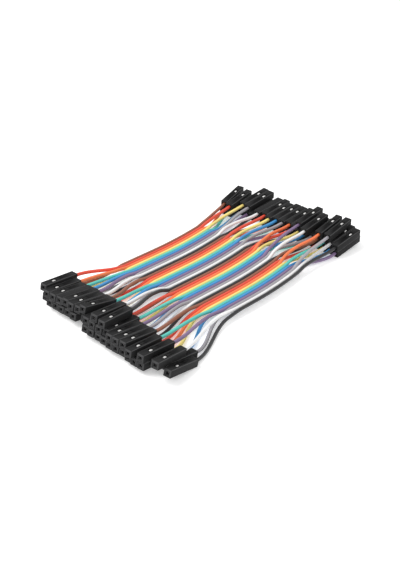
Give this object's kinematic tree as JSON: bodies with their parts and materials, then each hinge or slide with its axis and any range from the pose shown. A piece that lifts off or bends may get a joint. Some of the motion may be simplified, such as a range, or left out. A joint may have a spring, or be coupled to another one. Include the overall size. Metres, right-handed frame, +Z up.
{
  "type": "ribbon of breadboard jumper wires",
  "caption": "Flat rainbow ribbon of bonded jumper wires with a black one-way female crimp housing on both ends of every wire.",
  "frame": {"origin": "centre, in plan, of the box around the housings, on the surface that the ribbon lies on", "axes": "+X along the wires towards the far end, +Y across the ribbon towards wire 1 (brown), +Z up"},
  "size_m": [0.1176, 0.0648, 0.0097],
  "materials": {
    "housing": "satin",
    "insulation_brown": "satin",
    "insulation_red": "satin",
    "insulation_orange": "satin",
    "insulation_yellow": "satin",
    "insulation_green": "satin",
    "insulation_blue": "satin",
    "insulation_violet": "satin",
    "insulation_grey": "satin",
    "insulation_white": "satin",
    "insulation_black": "satin"
  },
  "bodies": {
    "root": {"near_housings_01": "housing", "near_housings_02": "housing", "near_housings_03": "housing", "near_housings_04": "housing", "near_housings_05": "housing", "near_housings_06": "housing", "near_housings_07": "housing", "near_housings_08": "housing", "near_housings_09": "housing", "near_housings_10": "housing", "far_housings_01": "housing", "far_housings_02": "housing", "far_housings_03": "housing", "far_housings_04": "housing", "far_housings_05": "housing", "far_housings_06": "housing", "far_housings_07": "housing", "far_housings_08": "housing", "far_housings_09": "housing", "far_housings_10": "housing", "wire_01_brown": "insulation_brown", "wire_02_red": "insulation_red", "wire_03_orange": "insulation_orange", "wire_04_yellow": "insulation_yellow", "wire_05_green": "insulation_green", "wire_06_blue": "insulation_blue", "wire_07_violet": "insulation_violet", "wire_08_grey": "insulation_grey", "wire_09_white": "insulation_white", "wire_10_black": "insulation_black", "wire_11_brown": "insulation_brown", "wire_12_red": "insulation_red", "wire_13_orange": "insulation_orange", "wire_14_yellow": "insulation_yellow", "wire_15_green": "insulation_green", "wire_16_blue": "insulation_blue", "wire_17_violet": "insulation_violet", "wire_18_grey": "insulation_grey", "wire_19_white": "insulation_white", "wire_20_black": "insulation_black", "wire_21_brown": "insulation_brown", "wire_22_red": "insulation_red", "wire_23_orange": "insulation_orange", "wire_24_yellow": "insulation_yellow", "wire_25_green": "insulation_green", "wire_26_blue": "insulation_blue", "wire_27_violet": "insulation_violet", "wire_28_grey": "insulation_grey", "wire_29_white": "insulation_white", "wire_30_black": "insulation_black", "wire_31_brown": "insulation_brown", "wire_32_red": "insulation_red", "wire_33_orange": "insulation_orange", "wire_34_yellow": "insulation_yellow", "wire_35_green": "insulation_green", "wire_36_blue": "insulation_blue", "wire_37_violet": "insulation_violet", "wire_38_grey": "insulation_grey", "wire_39_white": "insulation_white", "wire_40_black": "insulation_black"}
  },
  "joints": []
}
